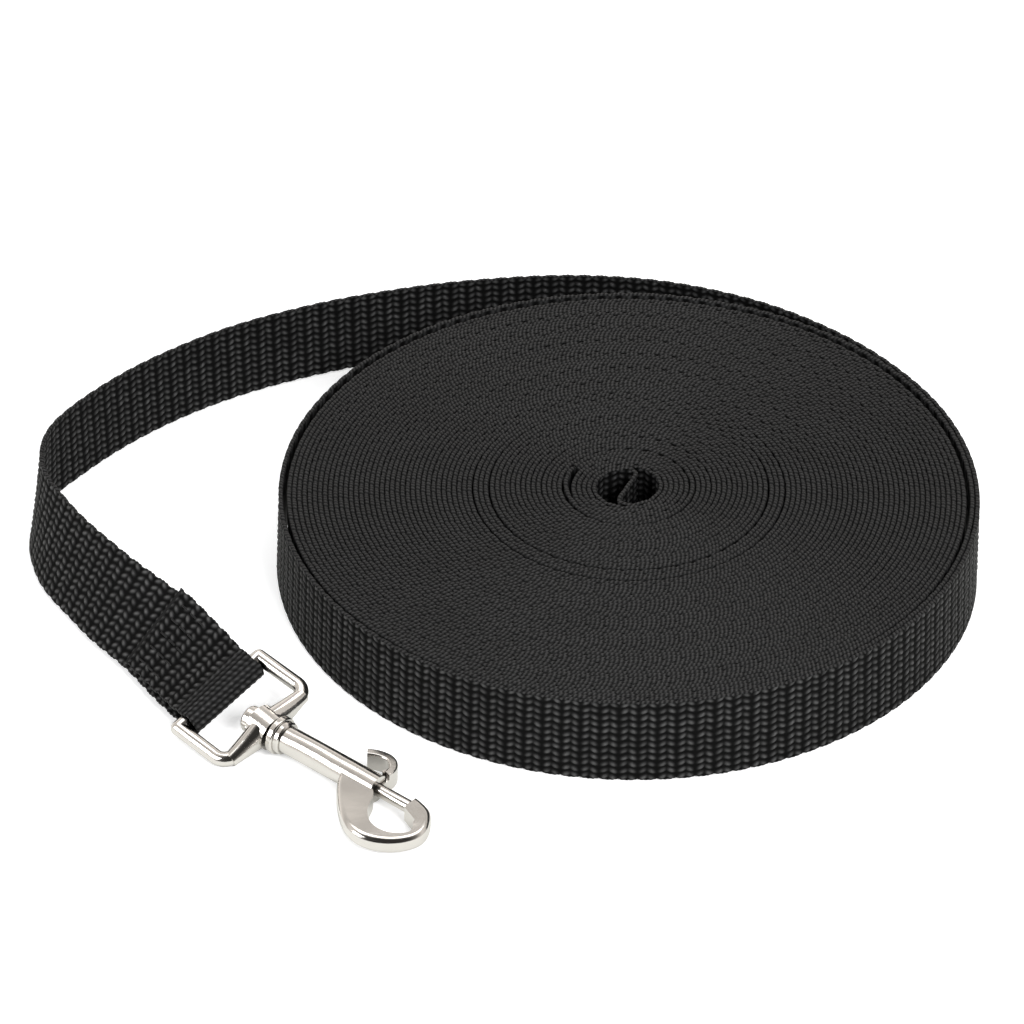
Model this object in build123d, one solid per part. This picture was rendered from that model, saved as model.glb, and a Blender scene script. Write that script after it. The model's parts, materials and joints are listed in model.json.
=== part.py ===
from build123d import *
import os
from math import acos, cos, degrees, radians, sin, sqrt, tan

# A long training leash: 25 mm nylon webbing, wound on edge into a flat coil, with a hand loop wound in its core
# and a swivel bolt snap sewn to its free end. Millimetres. The origin is the coil's centre on the ground, +Z is up.
# The webbing leaves the coil at the back, bends round on the left and ends at the snap, in front on the left.

# ---- webbing ----
WEB_WIDTH = 25.0           # one inch webbing
WEB_THICK = 1.32
TURN_PITCH = 1.40          # one layer of webbing and the air next to it
HALF = WEB_THICK / 2

# ---- core of the coil, where the hand loop is wound ----
CORE_REACH = 8.4           # from the coil's centre to the strap that lines the hole
CORE_BEND = 2.4            # radius of the two bends of the S-shaped strand
LOOP_TURNS = 5             # half turns of each of the loop's two strands
LOOP_TAIL = 55.0           # degrees that the sewn end runs past its last half turn
STEP_ANGLE = 70.0          # degrees over which the strap steps down past the sewn end

# ---- coil ----
FIRST_RADIUS = 17.70       # first half turn of single strap
SECOND_RADIUS = 18.55
LAST_RADIUS = 95.0
LOOSE_TURNS = {8: 0.10, 29: 0.30, 35: 0.25, 106: 0.89}   # half turn: extra air outside it

# ---- strap between the coil and the snap: (radius, turn in degrees) ----
LEAVING_TURN = 116.98      # how far the last half turn runs before the strap leaves the coil
TAIL_BACK = [(109.86, 64.44), (205.55, 24.45), (138.52, 31.87)]
TAIL_FRONT = [(34.0, 59.03), (241.01, 20.23)]
BEND_JOINT = 270.0         # distance from the coil to where the strap bends sideways
LEAN_START = 279.6         # distance from the coil to where the strap starts to lie down
LEAN_POWER = 1.44
LAP_LENGTH = 33.0          # folded-back end, measured from the crossbar
LAYER_GAP = 0.08

# ---- swivel eye ----
CROSSBAR_HEIGHT = 7.5
EYE_YAW = -43.0            # direction of the eye from the crossbar, degrees from +X
EYE_PITCH = -6.5
EYE_ROLL = 14.6            # its far side lies higher
EYE_WIDTH = (33.8, 34.0)   # over the bars, at the crossbar and at the boss
EYE_REACH = 17.8           # crossbar to boss centre
BAR_RADIUS = 2.0
FOLD_RADIUS = 2.2          # inside of the strap's fold round the crossbar
FOLD_SLACK = 1.4           # how much further than its radius the fold reaches in front of the crossbar
FOLD_LENGTH = 11.0         # from the crossbar to where the strap's two layers meet
BOSS_RADIUS = 5.0
BOSS_DEPTH = 6.2
BOSS_BORE = 2.3
ARM_ROOT = (3.2, 4.5)      # half depth and half height of the arms where they meet the boss
ARM_MIDDLE = (2.7, 3.1)
YOKE_CORNER = 3.6

# ---- swivel stud: its play in the boss lets the eye tilt ----
STUD_RADIUS = 1.85
STUD_HEAD = (3.6, 2.8)     # radius, thickness
STUD_PLUG = (2.5, 4.4)
HEAD_GAP = 0.42
FLANGE_GAP = 0.66

# ---- snap body: x runs along the barrel from the middle of its flange, y to the thumb tab's side ----
SNAP_YAW = -38.5
SNAP_PITCH = -2.0
FLANGE = (5.2, 2.0)
COLLAR = (4.55, 1.6)
BARREL_RADIUS = 3.75
MOUTH = 33.0               # end of the barrel
BORE_RADIUS = 1.82
HOOK_THICK = 4.7
HOOK_ROUNDING = 1.6
GATE_END = 44.0            # face of the hook's tip

# ---- bolt, thumb tab and spring ----
BOLT_RADIUS = 1.75
BOLT_START = 18.0
BOLT_END = 43.8
TAB_X = 32.6
TAB_WIDTH = 5.6
TAB_THICK = 2.3
NECK = (2.2, 2.5)          # along the bolt, across it
FOOT_RADIUS = 1.1
FOOT_DEPTH = 1.3           # past the bolt's axis
SLOT_WIDTH = 2.8
SLOT_START = 21.0
SPRING_WIRE = 0.25
SPRING_RADIUS = 1.42
SPRING_TURNS = 9.5

# ---- stitching ----
THREAD_RADIUS = 0.4

os.makedirs("parts", exist_ok=True)


# ---------------------------------------------------------------- paths
# A path is a list of (radius, turn): turn is in degrees, positive to the left. Where the radius is 0 the path is
# straight, and the second number is its length. A station is (x, y, heading in degrees).

def advance(station, radius, turn):
    x, y, heading = station
    start = radians(heading)
    if radius == 0:
        return (x + turn * cos(start), y + turn * sin(start), heading)
    side = 1 if turn > 0 else -1
    end = radians(heading + turn)
    return (
        x + side * radius * (sin(end) - sin(start)),
        y - side * radius * (cos(end) - cos(start)),
        heading + turn,
    )


def beside(station, offset):
    x, y, heading = station
    return (x - offset * sin(radians(heading)), y + offset * cos(radians(heading)))


def end_of(start, path):
    for radius, turn in path:
        start = advance(start, radius, turn)
    return start


def rail(start, path, offset):
    """The edges of a path, moved to its left by an offset."""
    edges = []
    for radius, turn in path:
        end = advance(start, radius, turn)
        if radius == 0:
            edges.append(Line(beside(start, offset), beside(end, offset)))
        else:
            middle = advance(start, radius, turn / 2)
            edges.append(ThreePointArc(beside(start, offset), beside(middle, offset), beside(end, offset)))
        start = end
    return edges


def band(start, path, thickness):
    """A flat face of even thickness along a path."""
    half = thickness / 2
    end = end_of(start, path)
    left = rail(start, path, half)
    right = rail(start, path, -half)
    start_cap = Line(beside(start, -half), beside(start, half))
    end_cap = Line(beside(end, half), beside(end, -half))
    outline = Wire([start_cap, *left, end_cap, *reversed(right)], sequenced=True)
    return Face(outline)


def strap_on_edge(start, path):
    return Solid.extrude(band(start, path, WEB_THICK), Vector(0, 0, WEB_WIDTH))


def arc_length(radius, turn):
    return abs(turn) if radius == 0 else radius * radians(abs(turn))


def cut_path(path, distance):
    """The first part of a path, up to a distance along it, and the rest."""
    first, rest = [], []
    for radius, turn in path:
        length = arc_length(radius, turn)
        if distance >= length:
            first.append((radius, turn))
        elif distance > 0:
            first.append((radius, turn * distance / length))
            rest.append((radius, turn * (1 - distance / length)))
        else:
            rest.append((radius, turn))
        distance -= length
    return first, rest


# ---------------------------------------------------------------- coil and hand loop
# The hand loop's two strands wind out side by side from an S-shaped strand across the hole. The lower strand
# ends at the sewn joint, and the upper one goes on as the leash.

def strand(half_turns):
    first = CORE_REACH + TURN_PITCH / 2
    return [(first + TURN_PITCH * i, 180.0) for i in range(half_turns)]


slant = degrees(acos(CORE_BEND / (CORE_REACH - CORE_BEND)))
s_strand = [
    (CORE_BEND, slant - 180),
    (0, 2 * CORE_BEND * tan(radians(slant))),
    (CORE_BEND, 180 - slant),
]
sewn_radius = CORE_REACH + TURN_PITCH * (LOOP_TURNS + 0.5)
sewn_strand = strand(LOOP_TURNS) + [(sewn_radius, LOOP_TAIL)]
sewn_end = end_of((0, -CORE_REACH, 0), sewn_strand)
sewn_strand_inward = [(radius, -turn) for radius, turn in reversed(sewn_strand)]
leash_strand = strand(LOOP_TURNS + 1) + [(sewn_radius + TURN_PITCH, LOOP_TAIL)]
loop_path = sewn_strand_inward + s_strand + leash_strand
loop_start = (sewn_end[0], sewn_end[1], sewn_end[2] + 180)
loop_end = end_of((0, CORE_REACH, 180), leash_strand)

# Two equal and opposite shifts of the centre bring the strap in by one layer.
spread = 1 - cos(radians(STEP_ANGLE))
shift = TURN_PITCH * (1 + sqrt(1 - spread / 2)) / spread
step_in = [
    (sewn_radius + TURN_PITCH - shift, STEP_ANGLE / 2),
    (sewn_radius + shift, STEP_ANGLE / 2),
    (sewn_radius, 180 - LOOP_TAIL - STEP_ANGLE),
]


def coil_turns():
    turns = [(FIRST_RADIUS, 180.0)]
    radius = SECOND_RADIUS
    while radius < LAST_RADIUS - 0.5:
        turns.append((radius, 180.0))
        radius += TURN_PITCH / 2 + LOOSE_TURNS.get(len(turns), 0)
    turns.append((radius, LEAVING_TURN))
    return turns


coil_path = step_in + coil_turns()
coil_end = end_of(loop_end, coil_path)
tail_path, front_path = cut_path(TAIL_BACK + TAIL_FRONT, BEND_JOINT)
bend_station = end_of(coil_end, tail_path)


def thread_plugs(centre_y, radius, angles, heights):
    """Round plugs of thread through both layers of the sewn joint."""
    length = 2 * TURN_PITCH - LAYER_GAP
    plugs = []
    for angle in angles:
        for height in heights:
            plug = Pos(radius, 0, height) * Rot(0, 90, 0) * Cylinder(THREAD_RADIUS, length)
            plugs.append(Pos(0, centre_y, 0) * Rot(0, 0, angle) * plug)
    return plugs


joint_radius = sewn_radius + TURN_PITCH / 2
loop_threads = thread_plugs(-TURN_PITCH / 2, joint_radius, (96, 106, 116, 126, 136), (4, 10.5, 17, 22))

# Where the strap bends, the end of one stretch is round, and the next stretch starts just past it.
def rounded_end(station):
    return Pos(station[0], station[1], WEB_WIDTH / 2) * Cylinder(HALF, WEB_WIDTH)


past_round_end, tail_rest = cut_path(tail_path, HALF + LAYER_GAP)
hand_loop = strap_on_edge(loop_start, loop_path) - loop_threads
webbing_coil = strap_on_edge(loop_end, coil_path) + rounded_end(coil_end)
webbing_tail = strap_on_edge(end_of(coil_end, past_round_end), tail_rest) + rounded_end(bend_station)


# ---------------------------------------------------------------- strap end
# The strap leaves the bend on edge, lies down on its way to the snap, goes under the crossbar and comes back on top.

front_length = sum(arc_length(*piece) for piece in front_path)
tail_length = BEND_JOINT + front_length


def unit(vector):
    return Vector(vector).normalized()


def tilted_frame(yaw, pitch, roll):
    """Forward, leftward and upward directions after a yaw, a pitch and a roll, in degrees."""
    a, b, c = radians(yaw), radians(pitch), radians(roll)
    forward = Vector(cos(a) * cos(b), sin(a) * cos(b), sin(b))
    level = Vector(-sin(a), cos(a), 0)
    upright = forward.cross(level)
    leftward = level * cos(c) + upright * sin(c)
    return forward, leftward, forward.cross(leftward)


eye_forward, eye_left, eye_up = tilted_frame(EYE_YAW, EYE_PITCH, EYE_ROLL)
layer_offset = (WEB_THICK + LAYER_GAP) / 2
end_rise = CROSSBAR_HEIGHT - layer_offset * eye_up.Z - WEB_WIDTH / 2 * sin(radians(EYE_ROLL))


def web_centre(distance):
    """Middle of the strap, and its direction across, at a distance from the coil."""
    first, _ = cut_path(front_path, distance - BEND_JOINT)
    x, y, heading = end_of(bend_station, first)
    share = max(0.0, (distance - LEAN_START) / (tail_length - LEAN_START))
    lean = radians((90 - EYE_ROLL) * share**LEAN_POWER)
    height = WEB_WIDTH / 2 * cos(lean) + end_rise * share**2
    a = radians(heading)
    across = Vector(-sin(a) * sin(lean), cos(a) * sin(lean), cos(lean))
    return Vector(x, y, height), across


def web_plane(distance):
    """Section plane of the strap: x across it, y out of its outer face."""
    here, across = web_centre(distance)
    ahead, _ = web_centre(distance + 0.25)
    behind, _ = web_centre(distance - 0.25)
    return Plane(origin=here, x_dir=across, z_dir=ahead - behind)


crossbar = web_centre(tail_length)[0] + eye_up * layer_offset


def fold_plane(distance, side):
    """Section plane beside the crossbar, in the lower (-1) or upper (+1) layer."""
    origin = crossbar - eye_forward * distance + eye_up * (side * layer_offset)
    return Plane(origin=origin, x_dir=eye_left, z_dir=eye_forward)


def web_loft(planes, offset=0.0):
    section = Pos(0, offset) * Rectangle(WEB_WIDTH, WEB_THICK)
    return loft([plane * section for plane in planes])


def spaced(start, end, step):
    count = max(1, round((end - start) / step))
    return [start + (end - start) * i / count for i in range(count + 1)]


def crossbar_fold():
    """The strap's loop round the crossbar, seen along the crossbar."""
    inner = FOLD_RADIUS
    outer = FOLD_RADIUS + WEB_THICK
    inner_front = inner + FOLD_SLACK
    outer_front = outer + FOLD_SLACK
    near = LAYER_GAP / 2
    far = near + WEB_THICK
    back = (-1, 0)
    ahead = (1, 0)
    outline = [
        Spline((-FOLD_LENGTH, far), (0, outer), tangents=(ahead, ahead)),
        Spline((0, outer), (outer_front, 0), (0, -outer), tangents=(ahead, back)),
        Spline((0, -outer), (-FOLD_LENGTH, -far), tangents=(back, back)),
        Line((-FOLD_LENGTH, -far), (-FOLD_LENGTH, -near)),
        Spline((-FOLD_LENGTH, -near), (0, -inner), tangents=(ahead, ahead)),
        Spline((0, -inner), (inner_front, 0), (0, inner), tangents=(ahead, back)),
        Spline((0, inner), (-FOLD_LENGTH, near), tangents=(back, back)),
        Line((-FOLD_LENGTH, near), (-FOLD_LENGTH, far)),
    ]
    side_view = Plane(origin=crossbar, x_dir=eye_forward, z_dir=-eye_left)
    return extrude(side_view * make_face(outline), amount=WEB_WIDTH / 2, both=True)


lap_start = tail_length - LAP_LENGTH
fold_start = tail_length - FOLD_LENGTH
blend_start = fold_start - 6
lower_planes = [web_plane(s) for s in spaced(BEND_JOINT + HALF + LAYER_GAP, blend_start, 8.0)]
upper_planes = [web_plane(s) for s in spaced(lap_start, blend_start, 8.0)]
meeting_plane = fold_plane(FOLD_LENGTH, -1)
lower_layer = web_loft(lower_planes + [meeting_plane])
upper_layer = web_loft(upper_planes + [meeting_plane], offset=2 * layer_offset)
webbing_end = lower_layer + upper_layer + crossbar_fold()

end_threads = []
thread_length = 2 * TURN_PITCH + 0.5
for row in spaced(lap_start + 3.0, blend_start - 2.0, 3.6):
    for column in spaced(-9.0, 9.0, 4.5):
        plug = Pos(column, layer_offset) * Rot(90, 0, 0) * Cylinder(THREAD_RADIUS, thread_length)
        end_threads.append(web_plane(row) * plug)
webbing_end = webbing_end - end_threads


# ---------------------------------------------------------------- swivel eye
# A cast frame: rounded bars in a rectangle, with a round boss in the middle of its front bar.

def swivel_eye():
    back, front = [width / 2 - BAR_RADIUS for width in EYE_WIDTH]
    corners = [(-EYE_REACH, back), (0, front), (0, -front), (-EYE_REACH, -back)]
    centre_line = FilletPolyline(*corners, radius=YOKE_CORNER)
    section = Plane(origin=centre_line @ 0, z_dir=centre_line % 0) * Circle(BAR_RADIUS)
    eye = sweep(section, path=centre_line)
    eye += Pos(-EYE_REACH, 0, 0) * Rot(90, 0, 0) * Cylinder(BAR_RADIUS, 2 * back)
    for y in (-back, back):
        eye += Pos(-EYE_REACH, y, 0) * Sphere(BAR_RADIUS)
    eye += Rot(0, 90, 0) * Cylinder(BOSS_RADIUS, BOSS_DEPTH)
    arm_sections = [(3.0, Ellipse(*ARM_ROOT)), (7.5, Ellipse(*ARM_MIDDLE)), (front - 1.5, Circle(BAR_RADIUS))]
    for sign in (-1, 1):
        side = Plane(origin=(0, 0, 0), x_dir=(1, 0, 0), z_dir=(0, sign, 0))
        eye += loft([side.offset(distance) * section for distance, section in arm_sections])
    return eye - Rot(0, 90, 0) * Cylinder(BOSS_BORE, 2 * BOSS_DEPTH)


EYE_PLANE = Plane(origin=crossbar + eye_forward * EYE_REACH, x_dir=eye_forward, z_dir=eye_up)
snap_forward, snap_left, snap_up = tilted_frame(SNAP_YAW, SNAP_PITCH, 0)
boss_to_flange = BOSS_DEPTH / 2 + FLANGE_GAP + FLANGE[1] / 2
SNAP_PLANE = Plane(
    origin=EYE_PLANE.origin + snap_forward * boss_to_flange,
    x_dir=snap_forward,
    z_dir=snap_up,
)


def rod(radius, start, end):
    """A cylinder along the snap's axis."""
    return Pos((start + end) / 2, 0, 0) * Rot(0, 90, 0) * Cylinder(radius, end - start)


def across_rod(radius, x, start, end):
    """A cylinder towards the thumb tab's side."""
    return Pos(x, (start + end) / 2, 0) * Rot(90, 0, 0) * Cylinder(radius, end - start)


# ---------------------------------------------------------------- snap
# The body is one casting: flange, collar, barrel and hook. The swivel stud closes its back end.

def hook_plate():
    """The flat hook. Its opening faces the bolt, between the barrel's mouth and the hook's tip."""
    tip_top = 2.5
    outside = Spline(
        (22.8, -3.0), (25.2, -7.2), (31.5, -13.9), (36.6, -17.3), (42.0, -18.3),
        (48.0, -16.3), (52.4, -12.0), (54.0, -6.9), (51.0, -0.6), (GATE_END, tip_top),
        tangents=((0.3, -1), (-1, 0.2)),
    )
    closing = Polyline(outside @ 1, (20.0, tip_top), (20.0, -1.5), outside @ 0)
    plate = extrude(make_face([outside, closing]), amount=HOOK_THICK / 2, both=True)
    opening = Spline(
        (MOUTH, -2.6), (35.4, -5.0), (36.8, -8.4), (38.9, -11.2), (42.0, -13.0), (45.8, -13.1),
        (49.3, -11.3), (50.9, -8.3), (49.3, -5.6), (GATE_END, -2.8),
        tangents=((1, -0.4), (-1, 0.4)),
    )
    gate = Polyline(opening @ 1, (GATE_END, 5.0), (MOUTH, 5.0), opening @ 0)
    rims = plate.edges().filter_by(GeomType.BSPLINE).filter_by(Plane.XY)
    plate = fillet(rims, HOOK_ROUNDING)
    return plate - extrude(make_face([opening, gate]), amount=HOOK_THICK, both=True)


def snap_body():
    flange_radius, flange_thick = FLANGE
    collar_radius, collar_length = COLLAR
    collar_start = flange_thick / 2
    body = rod(BARREL_RADIUS, collar_start, MOUTH)
    flange = rod(flange_radius, -flange_thick / 2, collar_start)
    body += fillet(flange.edges().filter_by(GeomType.CIRCLE), 0.5)
    collar = rod(collar_radius, collar_start, collar_start + collar_length)
    body += chamfer(collar.edges().filter_by(GeomType.CIRCLE).sort_by(Axis.X)[-1], 0.4)
    body += hook_plate()
    plug_radius, plug_length = STUD_PLUG
    body -= rod(BORE_RADIUS, 0, MOUTH + 1)
    body -= rod(plug_radius, -2, plug_length - flange_thick / 2)
    slot_length = MOUTH + 1 - SLOT_START
    body -= Pos(SLOT_START + slot_length / 2, BARREL_RADIUS, 0) * Box(slot_length, 2 * BARREL_RADIUS, SLOT_WIDTH)
    return body


def swivel_stud():
    """Round head inside the eye, shank through the boss, and a plug that is pressed into the body."""
    head_radius, head_thick = STUD_HEAD
    plug_radius, plug_length = STUD_PLUG
    flange_back = -FLANGE[1] / 2
    head_face = flange_back - FLANGE_GAP - BOSS_DEPTH - HEAD_GAP
    head = rod(head_radius, head_face - head_thick, head_face)
    head = fillet(head.edges().filter_by(GeomType.CIRCLE).sort_by(Axis.X)[0], 0.8)
    return head + rod(STUD_RADIUS, head_face, flange_back) + rod(plug_radius, flange_back, flange_back + plug_length)


def tab_foot():
    """The tab's round foot, peened in the bolt's cross hole."""
    return across_rod(FOOT_RADIUS, TAB_X, -FOOT_DEPTH, BOLT_RADIUS)


def bolt_pin():
    bolt = rod(BOLT_RADIUS, BOLT_START, BOLT_END)
    bolt = chamfer(bolt.edges().filter_by(GeomType.CIRCLE), 0.35)
    return bolt - tab_foot()


def thumb_tab():
    """A curled plate on a neck that runs in the barrel's slot."""
    neck_length, neck_width = NECK
    root = (TAB_X + neck_length / 2 - TAB_THICK / 2, BARREL_RADIUS + 0.25, 76)
    curl = extrude(band(root, [(4.2, 108), (9.0, 34)], TAB_THICK), amount=TAB_WIDTH / 2, both=True)
    curl = fillet(curl.edges().filter_by(GeomType.CIRCLE), 0.5)
    neck = Pos(TAB_X, BARREL_RADIUS / 2 + 1.0, 0) * Box(neck_length, BARREL_RADIUS, neck_width)
    neck -= rod(BOLT_RADIUS, BOLT_START, BOLT_END)
    ridges = [Pos(TAB_X + dx, BARREL_RADIUS + 0.7, 0) * Box(0.8, 1.0, TAB_WIDTH - 0.6) for dx in (-1.1, 0.3)]
    return curl + neck + ridges + tab_foot()


def return_spring():
    """Made of equal half turns, end to end."""
    start = STUD_PLUG[1] - FLANGE[1] / 2 + SPRING_WIRE + 0.05
    length = BOLT_START - start - SPRING_WIRE - 0.05
    pitch = length / SPRING_TURNS
    half_turn = Helix(pitch=pitch, height=pitch / 2, radius=SPRING_RADIUS)
    wire = Plane(origin=half_turn @ 0, z_dir=half_turn % 0) * Circle(SPRING_WIRE)
    bend = sweep(wire, path=half_turn)
    halves = [Pos(0, 0, i * pitch / 2) * Rot(0, 0, 180 * i) * bend for i in range(round(2 * SPRING_TURNS))]
    return Pos(start, 0, 0) * Rot(0, 90, 0) * (Part() + halves)


nodes = {
    "webbing_coil": webbing_coil,
    "hand_loop": hand_loop,
    "hand_loop_stitching": Compound(children=loop_threads),
    "webbing_tail": webbing_tail,
    "webbing_end": webbing_end,
    "end_stitching": Compound(children=end_threads),
    "swivel_eye": EYE_PLANE * swivel_eye(),
    "swivel_stud": SNAP_PLANE * swivel_stud(),
    "snap_body": SNAP_PLANE * snap_body(),
    "return_spring": SNAP_PLANE * return_spring(),
    "bolt_pin": SNAP_PLANE * bolt_pin(),
    "thumb_tab": SNAP_PLANE * thumb_tab(),
}
for name, shape in nodes.items():
    export_step(shape, f"parts/{name}.step")
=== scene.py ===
import json
import math

import bpy
import numpy as np
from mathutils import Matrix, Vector

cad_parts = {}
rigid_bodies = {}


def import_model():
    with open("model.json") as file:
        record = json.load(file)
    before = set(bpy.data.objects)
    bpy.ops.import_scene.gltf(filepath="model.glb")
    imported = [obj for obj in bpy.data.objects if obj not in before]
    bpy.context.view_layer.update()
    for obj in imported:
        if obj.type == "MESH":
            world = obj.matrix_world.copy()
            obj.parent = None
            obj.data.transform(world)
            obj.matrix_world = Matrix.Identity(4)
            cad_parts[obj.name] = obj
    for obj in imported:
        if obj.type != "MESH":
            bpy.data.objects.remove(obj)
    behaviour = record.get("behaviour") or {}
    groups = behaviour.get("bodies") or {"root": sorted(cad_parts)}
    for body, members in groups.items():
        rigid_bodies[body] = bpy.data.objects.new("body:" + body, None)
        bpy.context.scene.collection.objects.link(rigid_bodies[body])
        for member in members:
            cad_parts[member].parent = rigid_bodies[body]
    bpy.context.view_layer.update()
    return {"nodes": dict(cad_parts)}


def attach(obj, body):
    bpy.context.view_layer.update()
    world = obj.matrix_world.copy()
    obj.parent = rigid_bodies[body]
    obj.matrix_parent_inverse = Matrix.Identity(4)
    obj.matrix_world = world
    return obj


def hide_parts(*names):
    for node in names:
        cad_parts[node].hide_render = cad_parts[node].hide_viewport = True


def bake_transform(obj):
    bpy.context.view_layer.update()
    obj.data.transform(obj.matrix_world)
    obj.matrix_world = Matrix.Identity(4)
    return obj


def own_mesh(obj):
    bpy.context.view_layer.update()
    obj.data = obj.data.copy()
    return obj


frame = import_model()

# A training leash: black nylon webbing wound on edge into a flat coil, with a nickel-plated bolt snap on its
# free end. Metres throughout; MM turns a length given in millimetres into metres.
MM = 0.001

# ---- webbing ----
WEB_WIDTH = 25.0 * MM
HALF = 0.66 * MM               # half its thickness, on the crowns of its yarns
TURN_PITCH = 1.40 * MM         # one layer of webbing and the air next to it
SELVEDGE = 0.62 * MM           # how far the rounded edge reaches into the width
WANDER = 0.13 * MM             # how far the upper edge strays up and down
WANDER_WAVES = [(310 * MM, 6.8), (137 * MM, 16.4), (71 * MM, 9.2), (33 * MM, 23.6)]    # length, phase

# ---- weave of the faces: yarn crowns in columns across the webbing ----
COLUMN = 2.45 * MM             # length of one column of crowns
ROWS = 12                      # crowns in a column
ROW = WEB_WIDTH / ROWS
YARN_SLANT = 33.0              # degrees, to one side and the other in turn
YARN_LENGTH = 0.98 * MM        # half length and half width of a crown
YARN_WIDTH = 0.56 * MM
END_CURVE = 2.2                # how squarely a crown ends, along it and across it
SIDE_CURVE = 2.0
CROWN_LEAN = 0.22              # share of its height by which one end of a crown rises and the other drops
RELIEF = 0.44 * MM             # depth of the holes between the crowns
COLUMN_SHIFT = 0.07            # share of a column by which its crowns are off, to either side in turn
ANGLE_SPREAD = 16.0            # how widely crowns differ: degrees of slant
PLACE_SPREAD = (0.10, 0.12)    # share of a column along, share of a row across
HEIGHT_SPREAD = 0.34

# ---- ribs of the edges, and the fold's own ribs ----
RIB = COLUMN / 2               # pitch of the weft ribs on the webbing's edges
RIB_HEIGHT = 0.26 * MM
RIB_SLANT = 0.35               # how far a rib moves on along the edge for each step through it
SCALLOP = 0.50 * MM            # how far the weft pulls the edge in
SCALLOP_REACH = 2.6 * MM       # how far the scallops reach into the face
FOLD_RIB = 1.25 * MM           # pitch of the ribs that the fold presses up
MELTED_HEIGHT = 0.3            # of a crown, where the cut end is sealed by heat

# ---- steps of the meshes ----
EDGE_STEP = RIB / 4
FACE_STEP = COLUMN / 8
FOLD_STEP = COLUMN / 12
FACE_POINTS = 8 * ROWS

# ---- path of the webbing: (radius, turn in degrees), or (0, length) where it is straight ----
CORE_REACH = 8.4 * MM          # from the middle of the hole to the ends of the strand across it
CORE_BEND = 2.4 * MM           # radius of that strand's two bends
LOOP_TURNS = 5                 # half turns of the hand loop's sewn strand, and the degrees after them
LOOP_TAIL = 55.0
STEP_ANGLE = 70.0              # degrees over which the strap steps in past the sewn end
FIRST_RADIUS = 17.70 * MM      # the coil's first two half turns
SECOND_RADIUS = 18.55 * MM
LAST_RADIUS = 95.0 * MM        # full half turns stop once their radius is within LAST_SLACK of this
LAST_SLACK = 0.5 * MM
LOOSE_TURNS = {8: 0.10 * MM, 29: 0.30 * MM, 35: 0.25 * MM, 106: 0.89 * MM}    # half turn: extra gap after it
LEAVING_TURN = 116.98          # degrees of the last, partial half turn
TAIL_BACK = [(109.86 * MM, 64.44), (205.55 * MM, 24.45), (138.52 * MM, 31.87)]
TAIL_FRONT = [(34.0 * MM, 59.03), (241.01 * MM, 20.23)]
LEAN_START = 279.6 * MM        # from here on the loose stretch lies down, the faster the nearer to the snap
LEAN_POWER = 1.44
# where the loose stretch isn't quite on its path: size, distance from the coil, and reach to either side
STRAP_FLARE = (2.3 * MM, 334 * MM, 25 * MM)      # its lower edge stands out
STRAP_SHIFT = (2.1 * MM, 380 * MM, 25 * MM)      # it lies further left

# ---- pieces of the coil and of the loose stretch ----
WALL_LENGTH = 660.0 * MM       # the outermost turn and a little of the next, whose outer face can be seen
WINDING_PIECES = 10
WALL_PIECES = 3
WALL_FLARE = 1.3 * MM          # how much further out the outermost turn's lower edge is than its upper edge
FLARE_RUN = 60.0 * MM
ROOT_LENGTH = 22.0 * MM        # the loose stretch's first piece starts this far back on the coil
TAIL_CUTS = (60.0 * MM, 140.0 * MM, 215.0 * MM, 300.0 * MM)    # ends of its pieces, from the coil on
BEND_JOINT = 270.0 * MM        # place of the second joint, and how far the bend reaches to either side

# ---- free end ----
LAP_LENGTH = 29.8 * MM         # from the crossbar to the cut end
LAP_SHIFT = 1.3 * MM           # the folded-back end isn't quite in line with the webbing under it
LAYER_OFFSET = 0.70 * MM       # from the middle of the two layers to the middle of one
FOLD_RADIUS = 2.86 * MM        # middle of the webbing round the crossbar
FOLD_REACH = 4.26 * MM         # how far that middle gets in front of the crossbar
FOLD_LENGTH = 11.0 * MM        # the two layers part over this length before the crossbar
FOLD_POINTS = 40
LAP_MARGIN = 6.0 * MM          # the lap's piece starts this far before the lap, on the lower layer
FOLD_RIBBED = 7.5 * MM         # how far the fold's ribs show on either side of the bend, and how they fade
FOLD_FADE = 3.5 * MM
SEAL_LENGTH = 1.2 * MM         # melted stretch at the cut end
SEAL_FADE = 0.5 * MM
SEAL_THINNING = 0.18           # share of its thickness that it loses
LINE_STEP = 0.3 * MM
CROSSBAR_HEIGHT = 7.5 * MM
EYE_YAW = -43.0                # degrees
EYE_PITCH = -6.5
EYE_ROLL = 14.6

# ---- stitches of the lap: running thread in rows along the webbing ----
THREAD = 0.26 * MM
THREAD_POINTS = 8
STITCH_STEP = 0.3 * MM
STITCH_PITCH = 3.6 * MM
STITCH_DEPTH = 1.0 * MM
STITCH_ROWS = (-9.0 * MM, -4.5 * MM, 0.0, 4.5 * MM, 9.0 * MM)
STITCH_MARGIN = 3.0 * MM       # from the lap's cut end to the first stitch
STITCH_CLEARANCE = 8.0 * MM    # of the flat layers that stays free of stitches, that margin included
STITCHED_LENGTH = LAP_LENGTH - FOLD_LENGTH - STITCH_CLEARANCE

# ---- floor, room and camera ----
FLOOR_SIZE = 12.0
FLOOR_GAP = 0.05 * MM
GLOW_START = 84.0 * MM         # the floor's painted glow, which lifts the shadows on it, starts this far from the coil's middle
GLOW_RUN = 8.0 * MM
ROOM_LIGHT = 0.36
BACKDROP_LIGHT = 0.95
CAMERA_SIDE = (0.0, -0.80, 0.60)
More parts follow.
